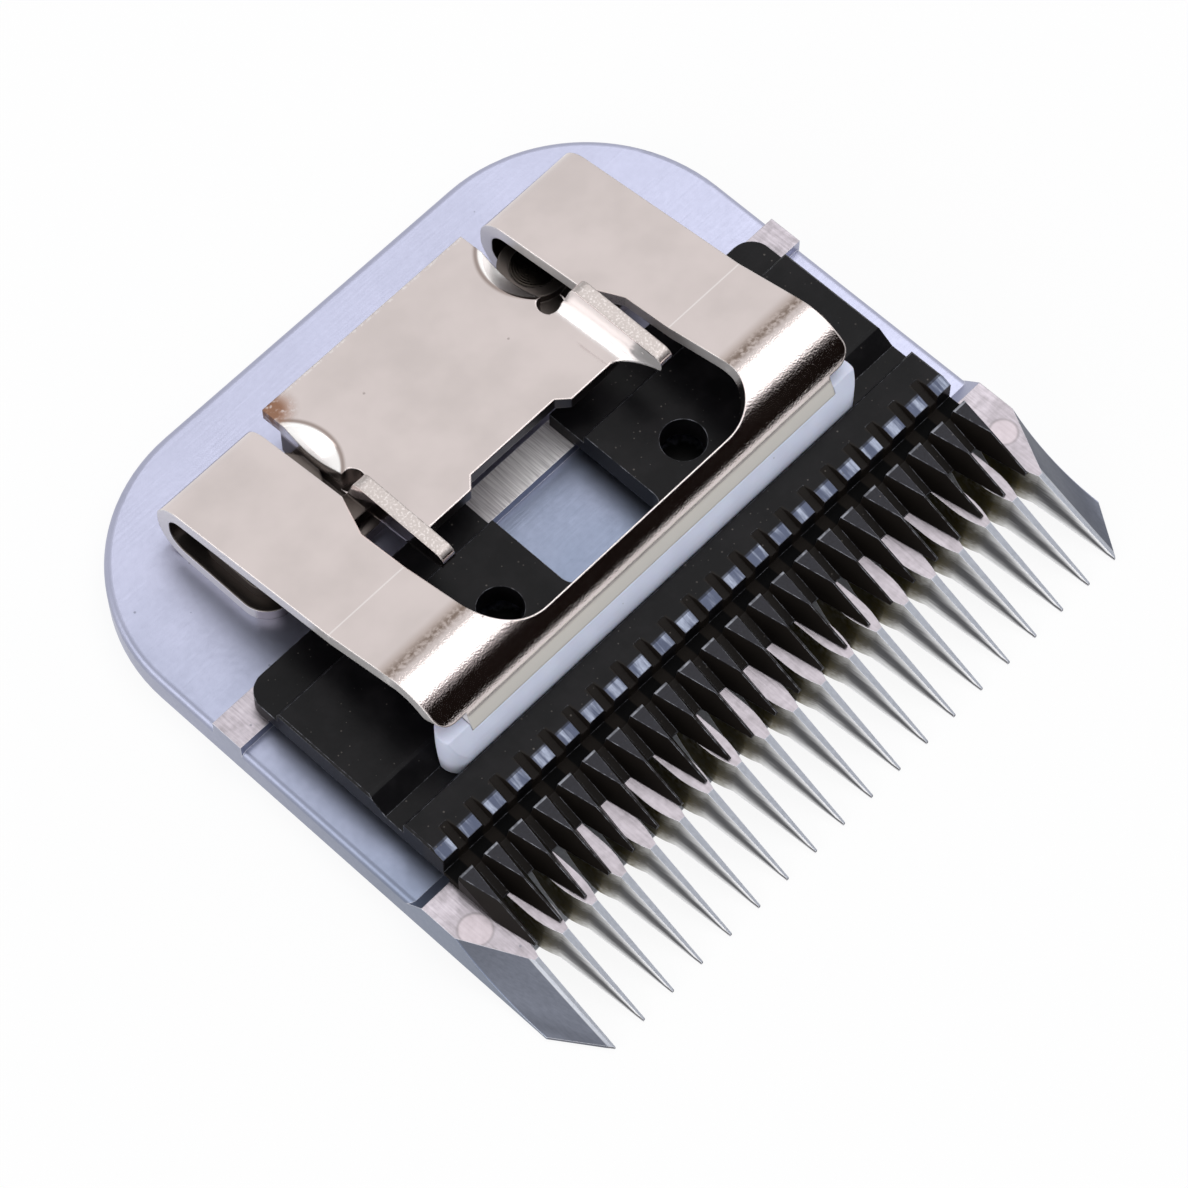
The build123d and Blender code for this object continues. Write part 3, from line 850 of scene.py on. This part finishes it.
@dataclass(frozen=True)
class SpringNickel(BrightNickel):
    """Nickel on the spring, with a pressed crease drawn as a painted highlight, strained plating round the
    nose, a painted reflection on the lip, a painted highlight on the sheared faces, and painted shade
    darkening the folds.
    """

    crease: Band = Band(3.65, 3.75, 0.04)
    crease_highlight_look: Look = Look((0.86, 0.82, 0.81), 0.6, 0.35)
    bend: Band = Band(-1.55, -0.95, 0.36)
    bend_speckle: Noise = Noise(3.4, 4.0)
    bend_speckle_edge: Edge = Edge(0.47, 0.13)
    bend_look: Look = Look((0.15, 0.105, 0.08), 0.85, 0.3)
    tan: Band = Band(-1.5, -0.5, 0.40)
    tan_look: Look = Look((0.36, 0.285, 0.245), 0.6, 0.2)
    arm_top: Edge = Edge(8.6, 0.2)
    nose: Band = Band(-5.6, -0.65, 0.35)
    lip_front: Edge = Edge(-5.2, 0.2)
    lip_top: Edge = Edge(8.55, 0.3)
    lip_reflection_look: Look = Look((0.84, 0.81, 0.76), 1.0, 0.35, 0.35)
    cut_face: Edge = Edge(0.9, 0.05)
    cut_face_highlight_look: Look = Look((0.80, 0.78, 0.78), 0.85, 0.35, 0.5)
    inward: Edge = Edge(-0.3, 0.2)
    upward: Edge = Edge(0.5, 0.2)
    roof_low: Edge = Edge(4.6, 0.2)
    roof_front: Edge = Edge(9.0, 0.5)
    back_front: Edge = Edge(12.5, 0.5)
    leaf_top: Edge = Edge(4.3, 0.2)
    # Painted shade for hidden hollows.
    painted_shade_look: Look = Look((0.050, 0.040, 0.033), 0.85, 0.35)

    def strain(self, graph: Graph, place: bpy.types.NodeSocket) -> Number:
        """Mask where bending has roughened the plating."""
        _, y, _ = graph.split(place)
        return y.within(self.nose)

    def wear_and_painted_light(self, graph: Graph, place: bpy.types.NodeSocket) -> list[tuple[Field, Look]]:
        """List the worn and marked patches, and the patches of painted light and shade.

        Args:
            graph: The material's tree.
            place: The coordinates.

        Returns:
            Each patch's mask and look, from the lowest layer up.
        """
        _, y, z = graph.split(place)
        side, ahead, up = graph.facing()
        top = z.above(self.arm_top)
        speckle = graph.noise(place, self.bend_speckle).above(self.bend_speckle_edge)
        roof = up.below(self.inward) * z.above(self.roof_low) * y.above(self.roof_front)
        back = ahead.below(self.inward) * y.above(self.back_front)
        leaf = up.above(self.upward) * z.below(self.leaf_top)
        return [
            # Painted highlight: a pale band across the arm tops along the pressed crease.
            (y.within(self.crease) * top, self.crease_highlight_look),
            (y.within(self.tan) * top, self.tan_look),
            (y.within(self.bend) * top * speckle, self.bend_look),
            # Painted reflection: the lip is painted cream and less metallic, for the white guide mirrored
            # in it.
            (y.below(self.lip_front) * z.below(self.lip_top), self.lip_reflection_look),
            # Sheared faces: rough, with a pale colour as a painted highlight.
            (abs(side).above(self.cut_face), self.cut_face_highlight_look),
            # Painted shade inside the folds: the roof, the rear faces and the lower leaf.
            (roof | back | leaf, self.painted_shade_look),
        ]


@dataclass(frozen=True)
class SocketNickel(BrightNickel):
    """Nickel on the socket, with sheared ear tops, ears and dishes made pale by their finish and by
    painted reflection, painted shade along its rough front edge, round the dishes and on its low parts,
    and a rusty corner.
    """

    ear_inward: Edge = Edge(-4.5, 1.5)
    ear_rise: Band = Band(6.7, 10.05, 0.15)
    ear_white_and_reflection_look: Look = Look((0.97, 0.95, 0.95), 0.8, 0.3, 0.45)
    ear_top: Edge = Edge(9.9, 0.08)
    ear_top_tilt: Edge = Edge(0.6, 0.2)
    sheared_look: Look = Look((0.36, 0.325, 0.31), 0.85, 0.5)
    torn: Noise = Noise(6.5, 4.0)
    torn_edge: Edge = Edge(0.57, 0.07)
    torn_look: Look = Look((0.70, 0.66, 0.65), 0.45, 0.1)
    dish_place: tuple[float, float] = (10.8, 14.6)
    dish_radius: Edge = Edge(3.45, 0.04)
    dish_low: Edge = Edge(5.2, 0.3)
    dish_outer: Edge = Edge(10.0, 0.2)
    dish_white_and_reflection_look: Look = Look((0.94, 0.92, 0.91), 1.0, 0.22)
    brink: Band = Band(3.47, 3.69, 0.16)
    brink_low: Edge = Edge(6.0, 0.1)
    brink_shade_look: Look = Look((0.22, 0.165, 0.14), 0.85, 0.15)
    shade_top: Edge = Edge(5.2, 0.4)
    painted_shade_look: Look = Look((0.050, 0.040, 0.033), 0.9, 0.4)
    rear_edge: Edge = Edge(18.5, 0.08)
    burr: Noise = Noise(3.0, 3.0)
    burr_edge: Edge = Edge(0.50, 0.08)
    burr_clear: Edge = Edge(1.6, 0.4)
    burr_look: Look = Look((0.70, 0.66, 0.65), 0.8, 0.3)
    front_edge: Edge = Edge(5.9, 0.05)
    front_tilt: Edge = Edge(0.5, 0.2)
    front_half: Edge = Edge(7.4, 0.2)
    front_shade_look: Look = Look((0.035, 0.032, 0.030), 0.9, 0.4)
    rust_place: Point = (-8.2, 18.2, 6.3)
    rust_radius: Edge = Edge(1.15, 0.7)
    rust: Noise = Noise(2.4, 3.0)
    rust_edge: Edge = Edge(0.36, 0.14)
    rust_look: Look = Look((0.20, 0.085, 0.035), 0.9, 0.6)

    def wear_and_painted_light(self, graph: Graph, place: bpy.types.NodeSocket) -> list[tuple[Field, Look]]:
        """List the worn and marked patches, and the patches of painted light and shade.

        Args:
            graph: The material's tree.
            place: The coordinates.

        Returns:
            Each patch's mask and look, from the lowest layer up.
        """
        x, y, z = graph.split(place)
        side, _, up = graph.facing()
        ear_inside = (x * side).below(self.ear_inward) * z.within(self.ear_rise)
        ear_tops = z.above(self.ear_top) * up.above(self.ear_top_tilt)
        torn = graph.noise(place, self.torn).above(self.torn_edge)
        out = abs(x) - self.dish_place[0]
        back = y - self.dish_place[1]
        radius = (out * out + back * back) ** 0.5
        dish = radius.below(self.dish_radius) * z.above(self.dish_low) * abs(x).below(self.dish_outer)
        reach = graph.reach(place, self.rust_place)
        burr = y.above(self.rear_edge) * graph.noise(place, self.burr).above(self.burr_edge)
        front = y.below(self.front_edge) * up.below(self.front_tilt) * abs(x).below(self.front_half)
        rusty = reach.below(self.rust_radius) * graph.noise(place, self.rust).above(self.rust_edge)
        return [
            # Ears and dishes: pale finish with a painted reflection.
            (ear_inside, self.ear_white_and_reflection_look),
            (dish, self.dish_white_and_reflection_look),
            # Painted shade: a dark ring round each dish.
            (radius.within(self.brink) * z.above(self.brink_low), self.brink_shade_look),
            # Painted shade on the socket's low parts inside the fold.
            (z.below(self.shade_top), self.painted_shade_look),
            (ear_tops, self.sheared_look),
            (ear_tops * torn, self.torn_look),
            (burr * reach.above(self.burr_clear), self.burr_look),
            # Painted shade on the faces along the plate's front edge.
            (front, self.front_shade_look),
            (rusty, self.rust_look),
        ]


@dataclass(frozen=True)
class GuidePlastic(Finish):
    """White moulded plastic, slightly blue, with a fine eggshell skin, painted shade darkening its foot,
    and scattered grit.
    """

    name: str = "guide_white_plastic"
    white: Colour = (0.72, 0.765, 0.93)
    white_dim: Colour = (0.66, 0.70, 0.86)
    grime_and_shade: Colour = (0.16, 0.16, 0.17)
    cloud: Noise = Noise(0.5, 3.0)
    skin: Noise = Noise(9.0, 2.0)
    grit: Specks = Specks(1.5, 0.12, 0.10)
    dim_edge: Edge = Edge(0.5, 0.3)
    foot: Edge = Edge(5.0, 0.6)
    foot_share: float = 0.6
    grit_share: float = 0.5
    rounding: float = 0.15
    relief_depth: float = 0.004
    glow_share: float = 0.10
    glow_depth: float = 0.5
    gloss_level: float = 0.4

    def paint(self, graph: Graph) -> None:
        """Write the material's nodes.

        Args:
            graph: The material's tree.
        """
        place = graph.place()
        _, _, z = graph.split(place)
        cloud = graph.noise(place, self.cloud)
        skin = graph.noise(place, self.skin)
        colour = graph.mix(cloud.above(self.dim_edge), self.white, self.white_dim)
        # Painted shade: the foot, low against the black deck, is darkened.
        colour = graph.mix(z.below(self.foot) * self.foot_share, colour, self.grime_and_shade)
        grit = graph.specks(place, self.grit)
        colour = graph.mix(grit * self.grit_share, colour, self.grime_and_shade)
        graph.surface({
            "Base Color": colour,
            "Roughness": 0.36 + skin.swing(0.12),
            "Normal": graph.bump(skin, self.relief_depth, graph.rounded(self.rounding)),
            "Subsurface Weight": self.glow_share,
            "Subsurface Scale": self.glow_depth * MM,
            "Specular IOR Level": self.gloss_level,
        })


@dataclass(frozen=True)
class ScrewSteel(Finish):
    """Turned zinc-plated steel with fine rings, and grime and painted shade darkening the end inside the
    blade.
    """

    name: str
    centre: Point
    zinc: Colour = (0.52, 0.47, 0.45)
    zinc_dim: Colour = (0.35, 0.315, 0.30)
    grime_and_shade: Colour = (0.040, 0.034, 0.029)
    cloud: Noise = Noise(1.2, 4.0)
    dim_edge: Edge = Edge(0.5, 0.2)
    grime_and_shade_low: Edge = Edge(3.0, 0.2)
    ring_rate: float = 38.0
    rounding: float = 0.08
    relief_depth: float = 0.006

    def paint(self, graph: Graph) -> None:
        """Write the material's nodes.

        Args:
            graph: The material's tree.
        """
        place = graph.place()
        _, _, z = graph.split(place)
        offset = graph.vector("SUBTRACT", place, self.centre).outputs["Vector"]
        across = graph.vector("MULTIPLY", offset, (1.0, 1.0, 0.0)).outputs["Vector"]
        turns = graph.number(graph.vector("LENGTH", across), "Value") * self.ring_rate
        rings = turns.math("SINE", turns)
        cloud = graph.noise(place, self.cloud)
        colour = graph.mix(cloud.above(self.dim_edge), self.zinc, self.zinc_dim)
        # Grime and painted shade on the end inside the fold.
        colour = graph.mix(z.above(self.grime_and_shade_low), colour, self.grime_and_shade)
        graph.surface({
            "Base Color": colour,
            "Roughness": 0.28 + cloud.swing(0.2),
            "Metallic": 1.0,
            "Normal": graph.bump(rings * 0.5 + cloud, self.relief_depth, graph.rounded(self.rounding)),
        })


@dataclass(frozen=True)
class PaleFloor(Finish):
    """White paper that reads as white and keeps the object's soft shadow."""

    name: str = "floor_paper"
    paper: Colour = (0.92, 0.92, 0.93)
    glow: float = 0.88

    def paint(self, graph: Graph) -> None:
        """Write the material's nodes.

        Args:
            graph: The material's tree.
        """
        diffuse = graph.node("ShaderNodeBsdfDiffuse", None, {"Color": self.paper})
        glowing = graph.node("ShaderNodeEmission", None, {"Color": WHITE, "Strength": 1.0})
        share = graph.seen_rays() * self.glow
        sockets = {0: share, 1: diffuse.outputs["BSDF"], 2: glowing.outputs["Emission"]}
        mixed = graph.node("ShaderNodeMixShader", None, sockets)
        graph.node("ShaderNodeOutputMaterial", None, {"Surface": mixed.outputs["Shader"]})


@dataclass(frozen=True)
class FlagCloth(Finish):
    """Matt black cloth of the studio's flag, with a pale hem and a grey upper part."""

    name: str = "flag_cloth"
    black: Colour = (0.010, 0.007, 0.006)
    hem: Colour = (0.80, 0.78, 0.78)
    grey: Colour = (0.20, 0.175, 0.19)
    hem_low: Edge = Edge(655.0, 12.0)
    hem_high: Edge = Edge(735.0, 12.0)

    def paint(self, graph: Graph) -> None:
        """Write the material's nodes.

        Args:
            graph: The material's tree.
        """
        _, _, z = graph.split(graph.place())
        colour = graph.mix(z.above(self.hem_low), self.black, self.hem)
        colour = graph.mix(z.above(self.hem_high), colour, self.grey)
        graph.surface({
            "Base Color": BLACK,
            "Specular IOR Level": 0.0,
            "Emission Color": colour,
            "Emission Strength": 1.0,
        })


def deselect_all() -> None:
    """Leave nothing selected."""
    bpy.ops.object.select_all(action="DESELECT")


@dataclass
class Blade:
    """The blade's solids, each dressed in its finish."""

    solids: dict[str, bpy.types.Object]
    screw_places: dict[Node, Point] = field(
        default_factory=lambda: {Node.SCREW_LEFT: (-10.8, 14.6, 0.0), Node.SCREW_RIGHT: (10.8, 14.6, 0.0)}
    )

    def dress(self) -> None:
        """Give every solid its finish."""
        finishes: dict[Node, Finish] = {
            Node.COMB: CombSteel(),
            Node.CUTTER: BlackCutter(),
            Node.SPRING: SpringNickel("spring_bright_nickel"),
            Node.SOCKET: SocketNickel("socket_bright_nickel"),
            Node.GUIDE: GuidePlastic(),
        }
        for screw, centre in self.screw_places.items():
            finishes[screw] = ScrewSteel(f"{screw.value}_zinc", centre)
        for node, finish in finishes.items():
            finish.dress(self.solids[node.value])
            LOG.info("dressed %s in %s", node.value, finish.name)


@dataclass(frozen=True)
class Softbox:
    """A rectangular soft light that faces the blade."""

    name: str
    direction: Point
    distance: float
    width: float
    depth: float
    brightness: float

    def hang(self) -> None:
        """Hang the light."""
        way = Vector(self.direction).normalized()
        data = bpy.data.lights.new(self.name, "AREA")
        data.shape = "RECTANGLE"
        data.size = self.width
        data.size_y = self.depth
        data.energy = self.brightness * pi * self.width * self.depth
        lamp = bpy.data.objects.new(self.name, data)
        bpy.context.scene.collection.objects.link(lamp)
        lamp.location = way * self.distance
        lamp.rotation_euler = way.to_track_quat("Z", "Y").to_euler()
        LOG.info("hung %s", self.name)


@dataclass
class Studio:
    """A pale floor, two soft lights, a dark flag in front, and the camera."""

    floor_size: float = 6.0
    flag_radius: float = 0.55
    flag_height: float = 1.12
    flag_start: float = 270.0
    flag_end: float = 312.0
    flag_sides: int = 42
    softboxes: tuple[Softbox, ...] = (
        Softbox(
            name="overhead_softbox",
            direction=(0.36, -0.016, 0.93),
            distance=0.62,
            width=0.56,
            depth=0.56,
            brightness=1.6,
        ),
        Softbox(
            name="left_softbox",
            direction=(-0.92, 0.17, 0.35),
            distance=0.70,
            width=1.00,
            depth=0.42,
            brightness=1.45,
        ),
    )
    room_strength: float = 0.62
    camera_place: Point = (-0.09484, -0.09117, 0.24086)
    camera_tilt: float = 28.16
    camera_turn: float = -46.41
    camera_lens: float = 135.99
    camera_sensor: float = 36.0
    camera_near: float = 0.01

    def build(self) -> None:
        """Set the whole studio."""
        self.lay_floor()
        self.hang_flag()
        for softbox in self.softboxes:
            softbox.hang()
        self.fill_room()
        self.set_camera()
        bpy.context.scene.view_settings.view_transform = "Standard"

    def lay_floor(self) -> None:
        """Lay the paper that the blade stands on."""
        deselect_all()
        bpy.ops.mesh.primitive_plane_add(size=self.floor_size)
        floor = bpy.context.object
        floor.name = "floor"
        floor.data.materials.append(PaleFloor().material())
        LOG.info("laid the floor")

    def hang_flag(self) -> None:
        """Stand a curved dark flag round the front, seen only as a reflection."""
        deselect_all()
        bpy.ops.mesh.primitive_circle_add(vertices=self.flag_sides, radius=self.flag_radius)
        flag = bpy.context.object
        flag.name = "front_flag"
        bpy.ops.object.mode_set(mode="EDIT")
        bpy.ops.mesh.select_all(action="SELECT")
        bpy.ops.mesh.extrude_region_move(TRANSFORM_OT_translate={"value": (0.0, 0.0, self.flag_height)})
        bpy.ops.mesh.select_all(action="DESELECT")
        bpy.ops.object.mode_set(mode="OBJECT")
        for polygon in flag.data.polygons:
            turn = Vector((1.0, 0.0)).angle_signed(polygon.center.xy) * -180.0 / pi % 360.0
            polygon.select = not self.flag_start < turn < self.flag_end
        bpy.ops.object.mode_set(mode="EDIT")
        bpy.ops.mesh.select_mode(type="FACE")
        bpy.ops.mesh.delete(type="FACE")
        bpy.ops.object.mode_set(mode="OBJECT")
        flag.data.materials.append(FlagCloth().material())
        flag.visible_camera = False
        flag.visible_diffuse = False
        flag.visible_shadow = False
        LOG.info("hung the flag")

    def fill_room(self) -> None:
        """Light the room evenly, and keep it white where it is seen."""
        world = bpy.data.worlds.new("studio_room")
        world.use_nodes = True
        bpy.context.scene.world = world
        graph = Graph(world.node_tree)
        room = graph.node("ShaderNodeBackground", None, {"Color": WHITE, "Strength": self.room_strength})
        seen = graph.node("ShaderNodeBackground", None, {"Color": WHITE, "Strength": 1.0})
        sockets = {0: graph.seen_rays(), 1: room.outputs["Background"], 2: seen.outputs["Background"]}
        mixed = graph.node("ShaderNodeMixShader", None, sockets)
        graph.node("ShaderNodeOutputWorld", None, {"Surface": mixed.outputs["Shader"]})
        LOG.info("filled the room with light")

    def set_camera(self) -> None:
        """Set the camera at the photograph's viewing angle."""
        data = bpy.data.cameras.new("camera")
        data.sensor_width = self.camera_sensor
        data.lens = self.camera_lens
        data.clip_start = self.camera_near
        camera = bpy.data.objects.new("camera", data)
        bpy.context.scene.collection.objects.link(camera)
        camera.location = self.camera_place
        camera.rotation_euler = (radians(self.camera_tilt), 0.0, radians(self.camera_turn))
        bpy.context.scene.camera = camera
        LOG.info("set the camera")


def main() -> None:
    """Load the frame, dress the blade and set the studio."""
    logging.basicConfig(level=logging.INFO, format="%(name)s: %(message)s")
    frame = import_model()
    Blade(frame["nodes"]).dress()
    Studio().build()


if __name__ == "__main__":
    main()
